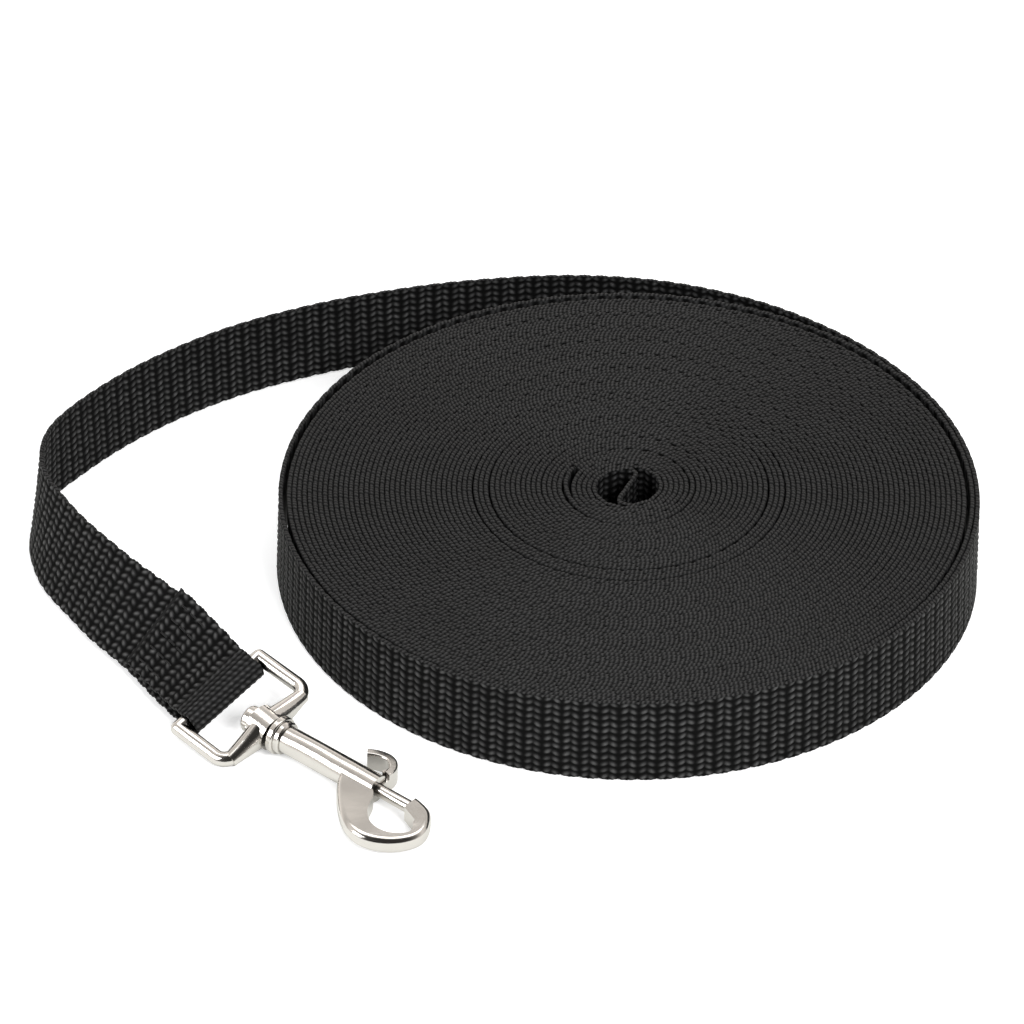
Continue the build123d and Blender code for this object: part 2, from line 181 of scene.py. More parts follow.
# how bright the mirrored room is, from the side away from the camera (-1) to the camera's side (1)
ROOM_SHADES = [
    (-0.75, 1.0), (-0.45, 0.98), (-0.12, 0.50), (0.10, 0.74), (0.34, 0.70), (0.60, 0.20), (0.80, 0.03),
]
ROOM_TINT = (1.0, 0.945, 0.89)
CAMERA_PLACE = (-31.45 * MM, -945.66 * MM, 710.47 * MM)
CAMERA_TILT = 53.70            # degrees up from straight down
CAMERA_LENS = 150.97           # mm, on a sensor 36 mm wide


# ---------------------------------------------------------------- paths

def piece_length(radius, turn):
    return turn if radius == 0 else radius * math.radians(abs(turn))


def path_length(path):
    return sum(piece_length(*piece) for piece in path)


def along_piece(start, radius, turn, run):
    """Stations after each length in run, along one piece of a path."""
    x, y, heading = start
    if radius == 0:
        return np.stack([x + run * math.cos(heading), y + run * math.sin(heading), 0 * run + heading], 1)
    side = math.copysign(1, turn)
    bearing = heading + side * run / radius
    return np.stack([
        x + side * radius * (np.sin(bearing) - math.sin(heading)),
        y - side * radius * (np.cos(bearing) - math.cos(heading)),
        bearing,
    ], 1)


def trace(start, path, distances):
    """Stations (x, y, heading in radians) at distances along a path. Its last piece runs on past its end."""
    stations = np.empty((len(distances), 3))
    begin = 0.0
    for number, (radius, turn) in enumerate(path, 1):
        length = piece_length(radius, turn)
        here = distances >= begin - 1e-12
        run = distances[here] - begin
        if number < len(path):
            run = np.minimum(run, length)
        stations[here] = along_piece(start, radius, turn, run)
        start = along_piece(start, radius, turn, np.array([length]))[0]
        begin += length
    return stations


def end_of(start, path):
    return tuple(trace(start, path, np.array([path_length(path)]))[0])


def strand(half_turns):
    """One of the hand loop's two strands, wound side by side in the core."""
    return [(CORE_REACH + TURN_PITCH * (i + 0.5), 180.0) for i in range(half_turns)]


def s_strand():
    """The strand across the hole: two bends and a straight between them."""
    slant = math.acos(CORE_BEND / (CORE_REACH - CORE_BEND))
    turn = 180 - math.degrees(slant)
    return [(CORE_BEND, -turn), (0, 2 * CORE_BEND * math.tan(slant)), (CORE_BEND, turn)]


def step_in(radius):
    """Two equal and opposite shifts of the centre bring the strap in by one layer, past the sewn end."""
    spread = 1 - math.cos(math.radians(STEP_ANGLE))
    shift = TURN_PITCH * (1 + math.sqrt(1 - spread / 2)) / spread
    return [
        (radius + TURN_PITCH - shift, STEP_ANGLE / 2),
        (radius + shift, STEP_ANGLE / 2),
        (radius, 180 - LOOP_TAIL - STEP_ANGLE),
    ]


def coil_turns():
    turns = [(FIRST_RADIUS, 180.0)]
    radius = SECOND_RADIUS
    while radius < LAST_RADIUS - LAST_SLACK:
        turns.append((radius, 180.0))
        radius += TURN_PITCH / 2 + LOOSE_TURNS.get(len(turns), 0)
    turns.append((radius, LEAVING_TURN))
    return turns


sewn_radius = CORE_REACH + TURN_PITCH * (LOOP_TURNS + 0.5)
sewn_strand = strand(LOOP_TURNS) + [(sewn_radius, LOOP_TAIL)]
sewn_end = end_of((0, -CORE_REACH, 0), sewn_strand)
leash_strand = strand(LOOP_TURNS + 1) + [(sewn_radius + TURN_PITCH, LOOP_TAIL)]
loop_path = [(radius, -turn) for radius, turn in reversed(sewn_strand)] + s_strand() + leash_strand
loop_start = (sewn_end[0], sewn_end[1], sewn_end[2] + math.pi)
loop_end = end_of((0, CORE_REACH, math.pi), leash_strand)
coil_path = step_in(sewn_radius) + coil_turns()
coil_length = path_length(coil_path)
coil_end = end_of(loop_end, coil_path)
tail_path = TAIL_BACK + TAIL_FRONT
tail_length = path_length(tail_path)


# ---------------------------------------------------------------- weave

def scatter(column, row):
    """A repeatable number from 0 to 1 for each crown."""
    return np.mod(np.sin(column * 12.9898 + row * 78.233) * 43758.5453, 1.0)


def crown(along, across, column, row):
    """One crown of the weave: its height, and the places along and across its yarn."""
    left = np.mod(column, 2) * 2 - 1
    vary = scatter(column, row) - 0.5
    drift = scatter(row, column) - 0.5
    angle = np.radians(YARN_SLANT * -left + ANGLE_SPREAD * vary)
    du = along - (column + 0.5 - COLUMN_SHIFT * left + PLACE_SPREAD[0] * drift) * COLUMN
    dv = across - (row + 0.5 + PLACE_SPREAD[1] * vary) * ROW
    u = du * np.cos(angle) + dv * np.sin(angle)
    v = dv * np.cos(angle) - du * np.sin(angle)
    lean = 1 + CROWN_LEAN * u / YARN_LENGTH + HEIGHT_SPREAD * drift
    height = lean * np.exp(-np.abs(u / YARN_LENGTH) ** END_CURVE - np.abs(v / YARN_WIDTH) ** SIDE_CURVE)
    return np.where((row >= 0) & (row < ROWS), height, 0), u, v


def crowns(along, across):
    """The face's yarn crowns: at each point the height, and the places along and across the highest yarn."""
    column = np.floor(along / COLUMN)
    row = np.floor(across / ROW)
    height = np.zeros(along.shape)
    lengthwise = np.zeros(along.shape)
    sideways = np.zeros(along.shape)
    for next_column in (-1, 0, 1):
        for next_row in (-1, 0, 1):
            rise, u, v = crown(along, across, column + next_column, row + next_row)
            higher = rise > height
            height = np.where(higher, rise, height)
            lengthwise = np.where(higher, u, lengthwise)
            sideways = np.where(higher, v, sideways)
    return height, lengthwise, sideways


def fold_ribs(along, over, height):
    """Height of the weave where a tight fold presses its crowns up into ribs across the webbing."""
    rib = 0.5 - 0.5 * np.cos(2 * np.pi * along / FOLD_RIB)
    dots = 0.7 + 0.3 * np.cos(2 * np.pi * (over / ROW + along / (2 * FOLD_RIB)))
    return 0.10 + 0.62 * rib * dots + 0.2 * height


def slow_wave(distance):
    """A smooth wander from -1 to 1 along the strap."""
    total = sum(np.sin(2 * np.pi * distance / length + phase) for length, phase in WANDER_WAVES)
    return total / len(WANDER_WAVES)


def edge_ribs(distance, thickwise):
    """The ribs across the webbing's edge, from 0 in a valley to 1 on a crest."""
    return 0.5 + 0.5 * np.cos(2 * np.pi * (distance + RIB_SLANT * thickwise) / RIB)


def scallops(distance, over):
    """How far the weft pulls in a point near either edge of the webbing."""
    phase = np.mod(distance / (2 * COLUMN), 1.0)
    wave = np.sqrt(np.clip(4 * phase * (1 - phase), 0, 1))
    off_centre = over - WEB_WIDTH / 2
    near_edge = np.clip((np.abs(off_centre) - WEB_WIDTH / 2) / SCALLOP_REACH + 1, 0, 1)
    return SCALLOP * (wave - 1) * np.sign(off_centre) * near_edge


def ring(face_steps, back_steps, edge_points):
    """The webbing's section, from the bottom of its outer face round to the start: places across it from 0 to
    WEB_WIDTH, places through it from -1 to 1, and the share that belongs to an edge (negative on the lower)."""
    low, high = SELVEDGE, WEB_WIDTH - SELVEDGE
    up = np.linspace(low, high, face_steps + 1)
    down = np.linspace(high, low, back_steps + 1)
    angle = np.linspace(0, np.pi, edge_points + 2)[1:-1]
    across = np.concatenate([up, high + SELVEDGE * np.sin(angle), down, low - SELVEDGE * np.sin(angle)])
    through = np.concatenate([np.ones(len(up)), np.cos(angle), -np.ones(len(down)), -np.cos(angle)])
    edge = np.concatenate([np.zeros(len(up)), np.sin(angle), np.zeros(len(down)), -np.sin(angle)])
    return across, through, edge


full_shape = ring(FACE_POINTS, FACE_POINTS, 5)     # both faces woven
wall_shape = ring(FACE_POINTS, 1, 6)               # only the outer face can be seen
edge_shape = ring(1, 1, 5)                         # only the edges can be seen


# ---------------------------------------------------------------- meshes

def directions(centre):
    """Unit tangents of a line of points."""
    tangent = np.gradient(centre, axis=0)
    return tangent / np.linalg.norm(tangent, axis=1)[:, None]


def webbing(name, distance, centre, across, shape, front=1.0, back=1.0, ribbed=None, sealed=None):
    """A stretch of webbing. centre and across are its middle line and its direction across, at each distance.
    front and back say how deep the weave is on its two faces. ribbed turns crowns into ribs, and sealed melts
    them flat and thins the webbing, each by a share from 0 to 1 at each distance."""
    normal = np.cross(directions(centre), across)
    normal /= np.linalg.norm(normal, axis=1)[:, None]
    place, through, edge = shape
    along = np.repeat(distance[:, None], len(place), 1)
    over = np.repeat(place[None, :], len(distance), 0)
    ribbed = np.zeros((len(distance), 1)) if ribbed is None else ribbed[:, None]
    sealed = np.zeros((len(distance), 1)) if sealed is None else sealed[:, None]

    depth = np.where(through > 0, front, back) * (edge == 0)
    on_the_back = np.where(through > 0, 0, COLUMN)
    height, lengthwise, sideways = crowns(along + on_the_back, over)
    height = height + (fold_ribs(along, over, height) - height) * ribbed
    height = height * (1 - sealed) + MELTED_HEIGHT * sealed
    out = HALF * (1 - SEAL_THINNING * sealed) * through - np.sign(through) * RELIEF * depth * (1 - height)
    ribs = edge_ribs(along, out)
    lift = edge * RIB_HEIGHT * (ribs - 1) * (1 - sealed) + scallops(along, over)
    up = over - WEB_WIDTH / 2 + lift + WANDER * slow_wave(along) * over / WEB_WIDTH
    points = centre[:, None, :] + across[:, None, :] * up[:, :, None] + normal[:, None, :] * out[:, :, None]

    # The marks: places along and across the yarn (through and along the webbing on the edges), then how light
    # the colour is painted: crowns and rib crests light, holes, rib valleys and the edges' flanks painted dark,
    # as shade.
    yarn = np.stack([
        np.where(edge != 0, out, lengthwise),
        np.where(edge != 0, along, sideways),
        np.where(edge != 0, (0.18 + 0.62 * ribs) * np.sqrt(np.abs(edge)), height),
    ], 2)
    return tubes(name, [(points, yarn)])


def skin(points, yarn, offset):
    """Vertices, marks, corner loops and face sizes of a closed skin over rings of points, with flat ends.
    The ends have points of their own, so that they stay crisp. offset is the number of vertices before it."""
    rings, size, _ = points.shape
    i, j = np.meshgrid(np.arange(rings - 1), np.arange(size), indexing="ij")
    k = (j + 1) % size
    quads = np.stack([i * size + j, (i + 1) * size + j, (i + 1) * size + k, i * size + k], 2).reshape(-1, 4)
    count = rings * size
    vertices = np.concatenate([points.reshape(-1, 3), points[0], points[-1]])
    marks = np.concatenate([yarn.reshape(-1, 3), yarn[0], yarn[-1]])
    first = np.arange(size) + count
    last = np.arange(size)[::-1] + count + size
    loops = np.concatenate([quads.ravel(), first, last]) + offset
    sizes = np.concatenate([np.full(len(quads), 4), [size, size]])
    return vertices, marks, loops, sizes


def tubes(name, parts):
    """One object of closed tubes, each given as rings of points and their yarn marks."""
    made = []
    offset = 0
    for points, yarn in parts:
        made.append(skin(points, yarn, offset))
        offset += len(made[-1][0])
    vertices, marks, loops, sizes = (np.concatenate(arrays) for arrays in zip(*made))
    mesh = bpy.data.meshes.new(name)
    mesh.vertices.add(len(vertices))
    mesh.vertices.foreach_set("co", vertices.astype(np.float32).ravel())
    mesh.loops.add(len(loops))
    mesh.loops.foreach_set("vertex_index", loops.astype(np.int32))
    mesh.polygons.add(len(sizes))
    mesh.polygons.foreach_set("loop_start", (np.cumsum(sizes) - sizes).astype(np.int32))
    mesh.update(calc_edges=True)
    mesh.shade_smooth()
    attribute = mesh.attributes.new("yarn", "FLOAT_VECTOR", "POINT")
    attribute.data.foreach_set("vector", marks.astype(np.float32).ravel())
    mesh.validate()
    item = bpy.data.objects.new(name, mesh)
    bpy.context.scene.collection.objects.link(item)
    return item


def upright(stations):
    """Middle line and direction across of webbing that stands on edge."""
    centre = np.column_stack([stations[:, 0], stations[:, 1], np.full(len(stations), WEB_WIDTH / 2)])
    across = np.tile((0.0, 0.0, 1.0), (len(stations), 1))
    return centre, across


def rightward(heading):
    """Level directions to the right of each heading. On the coil that is outward."""
    return np.column_stack([np.sin(heading), -np.cos(heading), np.zeros(len(heading))])


def flared(stations, flare):
    """Webbing on edge, with its lower edge further out than its upper edge."""
    centre, across = upright(stations)
    outward = rightward(stations[:, 2])
    across = across - outward * (flare / WEB_WIDTH)[:, None]
    across /= np.linalg.norm(across, axis=1)[:, None]
    return centre + outward * (flare / 2)[:, None], across


def smooth(share):
    """A soft step: 0 up to 0, and 1 from 1 on."""
    share = np.clip(share, 0, 1)
    return share * share * (3 - 2 * share)


def swelling(distance, size, place, reach):
    """A soft rise to size at a place, and back to nothing at its reach on either side."""
    return size * smooth(1 - np.abs(distance - place) / reach)


def spread_over(begin, end, step):
    """Distances from begin to end on the leash's own grid of steps, with both ends kept."""
    inner = np.arange(math.floor(begin / step) + 1, math.ceil(end / step)) * step
    return np.concatenate([[begin], inner, [end]])


def interpolate(places, known, points):
    """Points at places along a line whose points are known at increasing places."""
    return np.column_stack([np.interp(places, known, column) for column in points.T])


# ---------------------------------------------------------------- materials

def new_material(name):
    material = bpy.data.materials.new(name)
    material.use_nodes = True
    tree = material.node_tree
    return material, tree, tree.nodes["Principled BSDF"]


def node(tree, kind, **settings):
    """A new node, whose settings are the values of its inputs or its own properties."""
    made = tree.nodes.new(kind)
    for key, value in settings.items():
        if key in made.inputs:
            made.inputs[key].default_value = value
        else:
            setattr(made, key, value)
    return made


def maths(tree, operation, *values, clamp=False):
    made = tree.nodes.new("ShaderNodeMath")
    made.operation = operation
    made.use_clamp = clamp
    for socket, value in zip(made.inputs, values):
        if isinstance(value, (int, float)):
            socket.default_value = value
        else:
            tree.links.new(value, socket)
    return made.outputs[0]


def noise(tree, scale, detail):
    """Noise over the object's own space."""
    place = node(tree, "ShaderNodeTexCoord")
    texture = node(tree, "ShaderNodeTexNoise", Scale=scale, Detail=detail)
    tree.links.new(place.outputs["Object"], texture.inputs["Vector"])
    return texture.outputs["Fac"]


def mixed(tree, share, low, high):
    """A colour between two others, of which each is a colour or another node's output."""
    mix = node(tree, "ShaderNodeMix", data_type="RGBA")
    tree.links.new(share, mix.inputs["Factor"])
    for key, value in (("A", low), ("B", high)):
        if isinstance(value, tuple):
            mix.inputs[key].default_value = (*value, 1)
        else:
            tree.links.new(value, mix.inputs[key])
    return mix.outputs["Result"]


def relief(tree, height, strength, distance, under=None):
    """A bump map from a height, over another one if there is one under it."""
    made = node(tree, "ShaderNodeBump", Strength=strength, Distance=distance)
    tree.links.new(height, made.inputs["Height"])
    if under is not None:
        tree.links.new(under, made.inputs["Normal"])
    return made.outputs["Normal"]


def nylon(name, colour, painted_shade_colour, filament):
    """Woven nylon: fine filaments along each yarn and a little colour variation. Its colour holds painted
    shade and light: darker in the holes and the edge ribs' valleys, lighter on crowns and rib crests.
    """
    material, tree, shader = new_material(name)
    link = tree.links.new
    yarn = node(tree, "ShaderNodeAttribute", attribute_name="yarn")
    split = node(tree, "ShaderNodeSeparateXYZ")
    link(yarn.outputs["Vector"], split.inputs[0])
    blotch = noise(tree, 95.0, 3.0)
    fuzz = noise(tree, 5200.0, 2.0)
    # Painted shade and highlight: the yarn mark's height darkens the holes and lightens the crowns, which also
    # shine more.
    depth = maths(tree, "POWER", split.outputs["Z"], 1.7)
    shade = maths(tree, "MULTIPLY", depth, maths(tree, "ADD", blotch, 0.55), clamp=True)
    link(mixed(tree, shade, painted_shade_colour, colour), shader.inputs["Base Color"])
    link(maths(tree, "MULTIPLY_ADD", blotch, 0.16, 0.42), shader.inputs["Roughness"])
    link(maths(tree, "MULTIPLY_ADD", depth, 0.6, 0.02), shader.inputs["Specular IOR Level"])
    line = maths(tree, "SINE", maths(tree, "MULTIPLY", split.outputs["Y"], 2 * math.pi / filament))
    height = maths(tree, "MULTIPLY_ADD", line, 0.5, fuzz)
    link(relief(tree, height, 0.55, 0.03 * MM), shader.inputs["Normal"])
    return material


def plated(name, colour, roughness, grain):
    """Bright plating over a casting or a drawn part: soft swells, faint waviness, fine scuffs, duller
    patches, and painted shade in the recesses, where ambient occlusion darkens the colour."""
    material, tree, shader = new_material(name)
    link = tree.links.new
    wave = noise(tree, 330.0, 2.0)
    scuff = noise(tree, 2600.0, 4.0)
    patch = noise(tree, 140.0, 4.0)
    swell = noise(tree, 52.0, 0.0)
    tint = mixed(tree, patch, tuple(0.93 * c for c in colour), colour)
    # Painted shade: the colour goes dark where ambient occlusion finds a recess or a gap between parts.
    recess_shade = node(tree, "ShaderNodeAmbientOcclusion", samples=8, Distance=2.5 * MM)
    open_share = maths(tree, "SMOOTH_MIN", maths(tree, "MULTIPLY", recess_shade.outputs["AO"], 1.25), 1.0, 0.2)
    link(mixed(tree, open_share, tuple(0.16 * c for c in colour), tint), shader.inputs["Base Color"])
    link(maths(tree, "MULTIPLY_ADD", scuff, 0.5 * roughness, 0.75 * roughness), shader.inputs["Roughness"])
    uneven = relief(tree, swell, 1.0, 2.4 * MM)
    height = maths(tree, "MULTIPLY_ADD", scuff, 0.06 + grain, wave)
    link(relief(tree, height, 0.35, 0.12 * MM, under=uneven), shader.inputs["Normal"])
    shader.inputs["Metallic"].default_value = 1.0
    return material


def floor_paint(name, colour, mirrored, painted_glow):
    """Matt paint with painted light: it glows faintly outside the coil, which lifts the shadows cast there,
    and its reflection in shiny surfaces is painted dimmer, as painted shade.
    """
    material, tree, shader = new_material(name)
    ray = node(tree, "ShaderNodeLightPath")
    # Painted reflection: shiny surfaces see the floor in the dimmer mirrored colour, as painted shade.
    shade = mixed(tree, ray.outputs["Is Glossy Ray"], colour, mirrored)
    tree.links.new(shade, shader.inputs["Base Color"])
    tree.links.new(shade, shader.inputs["Emission Color"])
    shader.inputs["Roughness"].default_value = 0.6
    shader.inputs["Specular IOR Level"].default_value = 0.0
    place = node(tree, "ShaderNodeTexCoord")
    radius = node(tree, "ShaderNodeVectorMath", operation="LENGTH")
    tree.links.new(place.outputs["Object"], radius.inputs[0])
    # Painted light: the floor glows more the further out it is, fading the shadows cast on it.
    past_start = maths(tree, "SUBTRACT", radius.outputs["Value"], GLOW_START)
    outside = maths(tree, "MULTIPLY", past_start, 1 / GLOW_RUN, clamp=True)
    tree.links.new(maths(tree, "MULTIPLY", outside, painted_glow), shader.inputs["Emission Strength"])
    return material


web_black = nylon("web_black", (0.034, 0.034, 0.0345), (0.0035, 0.0035, 0.0035), filament=0.17 * MM)
thread_black = nylon("thread_black", (0.014, 0.014, 0.0145), (0.004, 0.004, 0.004), filament=0.3 * MM)
nickel = plated("nickel", (0.86, 0.835, 0.80), 0.15, grain=0.0)
wire_steel = plated("wire_steel", (0.55, 0.55, 0.56), 0.28, grain=0.3)
floor_white = floor_paint("floor_white", (0.90, 0.90, 0.90), (0.50, 0.50, 0.48), painted_glow=0.5)


def paint(item, material):
    item.data.materials.clear()
    item.data.materials.append(material)


def add_webbing(name, distance, line, shape, node_name=None, **looks):
    """A piece of webbing with its finish. It stands for a CAD node, if one is named."""
    piece = webbing(name, distance, *line, shape, **looks)
    paint(piece, web_black)
    if node_name:
        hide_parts(node_name)
    return piece


# ---------------------------------------------------------------- coil

wall_start = coil_length - WALL_LENGTH
wall_end = coil_length - ROOT_LENGTH

winding_cuts = np.linspace(0, wall_start, WINDING_PIECES + 1)
for number, (begin, end) in enumerate(zip(winding_cuts[:-1], winding_cuts[1:]), 1):
    distance = spread_over(begin, end, EDGE_STEP)
    line = upright(trace(loop_end, coil_path, distance))
    winding = add_webbing(f"coil_winding_{number}", distance, line, edge_shape, front=0, back=0)
    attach(winding, "coil")

wall_cuts = np.linspace(wall_start, wall_end, WALL_PIECES + 1)
for number, (begin, end) in enumerate(zip(wall_cuts[:-1], wall_cuts[1:]), 1):
    distance = spread_over(begin, end, FACE_STEP)
    flare = WALL_FLARE * smooth((distance - wall_start) / FLARE_RUN)
    flare = flare * smooth((wall_end - distance) / FLARE_RUN)
    line = flared(trace(loop_end, coil_path, distance), flare)
    wall = add_webbing(f"coil_wall_{number}", distance, line, wall_shape, "webbing_coil", back=0)
    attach(wall, "coil")


# ---------------------------------------------------------------- hand loop in the core

lining = math.pi * (CORE_REACH + TURN_PITCH / 2)     # the half turn of each strand that lines the hole
core_start = path_length(sewn_strand) - lining
core_end = path_length(sewn_strand) + path_length(s_strand()) + lining
loop_cuts = [
    ("loop_sewn_strand", 0, core_start, edge_shape, EDGE_STEP, 0.0),
    ("loop_core", core_start, core_end, full_shape, FACE_STEP, 1.0),
    ("loop_leash_strand", core_end, path_length(loop_path), edge_shape, EDGE_STEP, 0.0),
]
for name, begin, end, shape, step, weave in loop_cuts:
    distance = spread_over(begin, end, step)
    line = upright(trace(loop_start, loop_path, distance))
    piece = add_webbing(name, distance, line, shape, "hand_loop", front=weave, back=weave)
    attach(piece, "coil")


# ---------------------------------------------------------------- loose stretch

def tilted_frame(yaw, pitch, roll):
    """Forward, leftward and upward directions after a yaw, a pitch and a roll, in degrees."""
    a, b, c = (math.radians(angle) for angle in (yaw, pitch, roll))
    forward = np.array([math.cos(a) * math.cos(b), math.sin(a) * math.cos(b), math.sin(b)])
    level = np.array([-math.sin(a), math.cos(a), 0])
    leftward = level * math.cos(c) + np.cross(forward, level) * math.sin(c)
    return forward, leftward, np.cross(forward, leftward)


eye_forward, eye_left, eye_up = tilted_frame(EYE_YAW, EYE_PITCH, EYE_ROLL)
end_rise = CROSSBAR_HEIGHT - LAYER_OFFSET * eye_up[2] - WEB_WIDTH / 2 * math.sin(math.radians(EYE_ROLL))


def leaving_strap(distance):
    """Middle line and direction across where the webbing leaves the coil, with negative distances on it."""
    on_coil = distance < 0
    return upright(np.concatenate([
        trace(loop_end, coil_path, distance[on_coil] + coil_length),
        trace(coil_end, tail_path, distance[~on_coil]),
    ]))


def loose_strap(distance):
    """Middle line and direction across of the stretch that lies down on its way to the snap."""
    x, y, heading = trace(coil_end, tail_path, distance).T
    share = np.clip((distance - LEAN_START) / (tail_length - LEAN_START), 0, 1)
    flare, to_left = swelling(distance, *STRAP_FLARE), swelling(distance, *STRAP_SHIFT)
    lean = np.radians((90 - EYE_ROLL) * share**LEAN_POWER) + flare / WEB_WIDTH
    centre = np.column_stack([x, y, WEB_WIDTH / 2 * np.cos(lean) + end_rise * share**2])
    upward = np.array([0.0, 0.0, 1.0])
    across = np.cos(lean)[:, None] * upward - np.sin(lean)[:, None] * rightward(heading)
    return centre + rightward(heading) * (flare / 2 - to_left)[:, None], across


def joint_line(station):
    """The point at half the webbing's height and the direction of the path, at a station."""
    x, y, heading = station
    return Vector((x, y, WEB_WIDTH / 2)), Vector((math.cos(heading), math.sin(heading), 0))


bend_point, bend_way = joint_line(trace(coil_end, tail_path, np.array([BEND_JOINT]))[0])
root_end, back_end, side_end, front_end = TAIL_CUTS
for name, begin, end in (("tail_root", -ROOT_LENGTH, root_end), ("tail_back", root_end, back_end)):
    distance = spread_over(begin, end, FACE_STEP)
    piece = add_webbing(name, distance + coil_length, leaving_strap(distance), full_shape, "webbing_tail")
    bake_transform(piece)
for name, begin, end in (("tail_side", back_end, side_end), ("tail_front", side_end, front_end)):
    distance = spread_over(begin, end, FACE_STEP)
    piece = add_webbing(name, distance + coil_length, loose_strap(distance), full_shape, "webbing_tail")
    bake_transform(piece)


# ---------------------------------------------------------------- free end, fold and lap

crossbar = loose_strap(np.array([tail_length]))[0][0] + eye_up * LAYER_OFFSET


def end_line(begin):
    """Middle line and direction across of the free end: to the crossbar, round it, and back to the cut."""
    distance = np.arange(begin, tail_length, LINE_STEP)
    centre, across = loose_strap(distance)
    normal = np.cross(directions(centre), across)
    between_layers = centre + LAYER_OFFSET * normal
    behind = tail_length - distance
    gap = (LAYER_OFFSET + (FOLD_RADIUS - LAYER_OFFSET) * smooth(1 - behind / FOLD_LENGTH))[:, None] * normal
    out_of_line = (LAP_SHIFT * smooth(behind / FOLD_LENGTH))[:, None] * across
    lap = behind < LAP_LENGTH
    angle = np.linspace(-np.pi / 2, np.pi / 2, FOLD_POINTS + 2)[1:-1]
    ahead = np.outer(FOLD_REACH * np.cos(angle), eye_forward)
    bend = crossbar + ahead + np.outer(FOLD_RADIUS * np.sin(angle), eye_up)
    line = np.concatenate([between_layers - gap, bend, (between_layers + gap + out_of_line)[lap][::-1]])
    sideways = np.concatenate([across, np.tile(eye_left, (len(bend), 1)), across[lap][::-1]])
    return line, sideways


def resample(line, across, begin, step):
    """Even steps along a line; distances count from begin."""
    lengths = np.concatenate([[0], np.cumsum(np.linalg.norm(np.diff(line, axis=0), axis=1))])
    distance = spread_over(begin, begin + lengths[-1], step)
    places = distance - begin
    sideways = interpolate(places, lengths, across)
    sideways /= np.linalg.norm(sideways, axis=1)[:, None]
    return distance, interpolate(places, lengths, line), sideways


distance, centre, across = resample(*end_line(front_end), front_end, FOLD_STEP)
cut_end = distance[-1]
bar_distance = distance[np.argmin(np.linalg.norm(centre - (crossbar + eye_forward * FOLD_REACH), axis=1))]
ribbed = 1 - smooth((np.abs(distance - bar_distance) - FOLD_RIBBED) / FOLD_FADE)
sealed = smooth((distance - (cut_end - SEAL_LENGTH)) / SEAL_FADE)
split = np.argmin(np.abs(distance - (tail_length - LAP_LENGTH - LAP_MARGIN)))
for name, part in (("strap_end", slice(0, split + 1)), ("strap_lap", slice(split, None))):
    line = centre[part], across[part]
    piece = add_webbing(name, distance[part] + coil_length, line, full_shape, "webbing_end",
                        ribbed=ribbed[part], sealed=sealed[part])
    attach(piece, "strap_end")


def stitch_line(centre, across, offset):
    """Rings of a thread that dips in and out of the webbing's back face, at a place across it."""
    normal = np.cross(across, directions(centre))
    run = np.arange(len(centre)) * STITCH_STEP
    dip = smooth(1.5 * np.abs(np.cos(np.pi * run / STITCH_PITCH)) - 0.9)
    middle = centre + across * offset + normal * (HALF - THREAD / 2 - STITCH_DEPTH * dip)[:, None]
    angle = np.arange(THREAD_POINTS)[:, None] / THREAD_POINTS * 2 * np.pi
    around = normal[:, None, :] * np.cos(angle) + across[:, None, :] * np.sin(angle)
    yarn = np.stack(np.broadcast_arrays(THREAD * angle[:, 0], run[:, None], 0.6), 2)
    return middle[:, None, :] + THREAD * around, yarn


# rows on the lap, and on the lower layer under it
rows = []
for far_end in (cut_end, 2 * bar_distance - cut_end):
    toward_bar = math.copysign(1, bar_distance - far_end)
    near, far = sorted((far_end + toward_bar * STITCH_MARGIN,
                        far_end + toward_bar * (STITCH_MARGIN + STITCHED_LENGTH)))
    places = np.arange(near, far, STITCH_STEP)
    middle, sideways = interpolate(places, distance, centre), interpolate(places, distance, across)
    rows += [stitch_line(middle, sideways, offset) for offset in STITCH_ROWS]
stitches = tubes("lap_stitches", rows)
paint(stitches, thread_black)
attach(stitches, "strap_end")
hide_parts("end_stitching")


# ---------------------------------------------------------------- carried-over CAD pieces

for name in ("swivel_eye", "swivel_stud", "snap_body", "bolt_pin", "thumb_tab"):
    paint(frame["nodes"][name], nickel)
paint(frame["nodes"]["hand_loop_stitching"], thread_black)

# The spring gets a piece of its own, with its own mesh, carried by the snap.
spring = frame["nodes"]["return_spring"].copy()
spring.name = "spring_coils"
spring.data = spring.data.copy()
bpy.context.scene.collection.objects.link(spring)
paint(spring, wire_steel)
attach(spring, "snap")
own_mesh(spring)
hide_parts("return_spring")


# ---------------------------------------------------------------- floor, light and camera

bpy.ops.mesh.primitive_plane_add(size=FLOOR_SIZE, location=(0, 0, -FLOOR_GAP))
floor = bpy.context.object
floor.name = "floor"
floor.data.materials.append(floor_white)

# The key light only shines on what is matt, so that it leaves no glare on the plating.
matt_pieces = bpy.data.collections.new("matt_pieces")
for item in bpy.context.scene.objects:
    if item.type == "MESH" and item.active_material not in (nickel, wire_steel):
        matt_pieces.objects.link(item)


def softbox(name, place, target, size, power):
    lamp = bpy.data.lights.new(name, "AREA")
    lamp.shape = "RECTANGLE"
    lamp.size, lamp.size_y = size
    lamp.energy = power
    item = bpy.data.objects.new(name, lamp)
    bpy.context.scene.collection.objects.link(item)
    item.location = place
    item.rotation_euler = (Vector(target) - Vector(place)).to_track_quat("-Z", "Y").to_euler()
    return item


key = softbox("key", place=(0.45, -0.85, 0.80), target=(0, 0, 0), size=(0.5, 0.4), power=14)
key.light_linking.receiver_collection = matt_pieces
softbox("fill", place=(-1.0, -0.5, 0.6), target=(-0.05, 0, 0), size=(0.6, 0.6), power=7)
softbox("top", place=(0.0, 0.35, 1.3), target=(0, 0, 0), size=(1.2, 0.8), power=4.5)


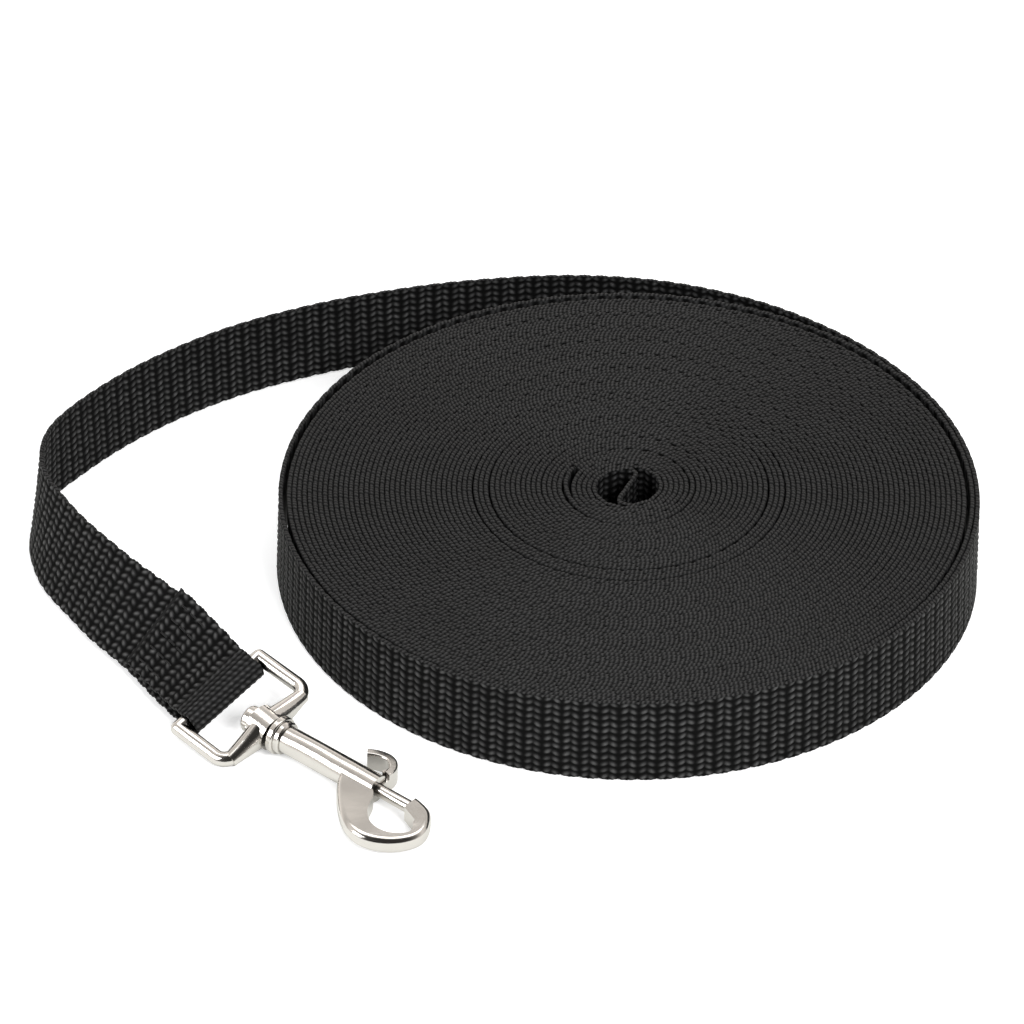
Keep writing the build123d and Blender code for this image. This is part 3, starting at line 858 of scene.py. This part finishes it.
def room_shades(tree):
    """The mirrored room's colour: pale behind and above, dark round the camera."""
    way = node(tree, "ShaderNodeTexCoord")
    facing = node(tree, "ShaderNodeVectorMath", operation="DOT_PRODUCT")
    facing.inputs[1].default_value = CAMERA_SIDE
    tree.links.new(way.outputs["Generated"], facing.inputs[0])
    shades = node(tree, "ShaderNodeValToRGB")
    ramp = shades.color_ramp.elements
    for _ in ROOM_SHADES[2:]:
        ramp.new(0.5)
    for stop, (dot, shade) in zip(ramp, ROOM_SHADES):
        stop.position = 0.5 + 0.5 * dot
        stop.color = (*(shade * tint for tint in ROOM_TINT), 1)
    tree.links.new(maths(tree, "MULTIPLY_ADD", facing.outputs["Value"], 0.5, 0.5), shades.inputs["Fac"])
    return shades.outputs["Color"]


def white(tree, strength):
    return node(tree, "ShaderNodeBackground", Color=(1, 1, 1, 1), Strength=strength).outputs["Background"]


def either_shader(tree, share, first, second):
    """The first shader where share is 0, and the second where it is 1."""
    mix = node(tree, "ShaderNodeMixShader")
    for output, socket in zip((share, first, second), mix.inputs):
        tree.links.new(output, socket)
    return mix.outputs["Shader"]


# The room is a white backdrop to the camera, even white light to matt surfaces, and its shades to shiny ones.
world = bpy.data.worlds.new("studio")
bpy.context.scene.world = world
world.use_nodes = True
room = world.node_tree
room.nodes.clear()
ray = node(room, "ShaderNodeLightPath")
mirrored = node(room, "ShaderNodeBackground")
room.links.new(room_shades(room), mirrored.inputs["Color"])
seen = either_shader(room, ray.outputs["Is Camera Ray"], white(room, ROOM_LIGHT), white(room, BACKDROP_LIGHT))
whole = either_shader(room, ray.outputs["Is Glossy Ray"], seen, mirrored.outputs["Background"])
room.links.new(whole, node(room, "ShaderNodeOutputWorld").inputs["Surface"])

camera_data = bpy.data.cameras.new("camera")
camera_data.sensor_width = 36.0
camera_data.lens = CAMERA_LENS
camera = bpy.data.objects.new("camera", camera_data)
camera.location = CAMERA_PLACE
camera.rotation_euler = (math.radians(CAMERA_TILT), 0, 0)
bpy.context.scene.collection.objects.link(camera)
bpy.context.scene.camera = camera
bpy.context.scene.view_settings.view_transform = "Standard"
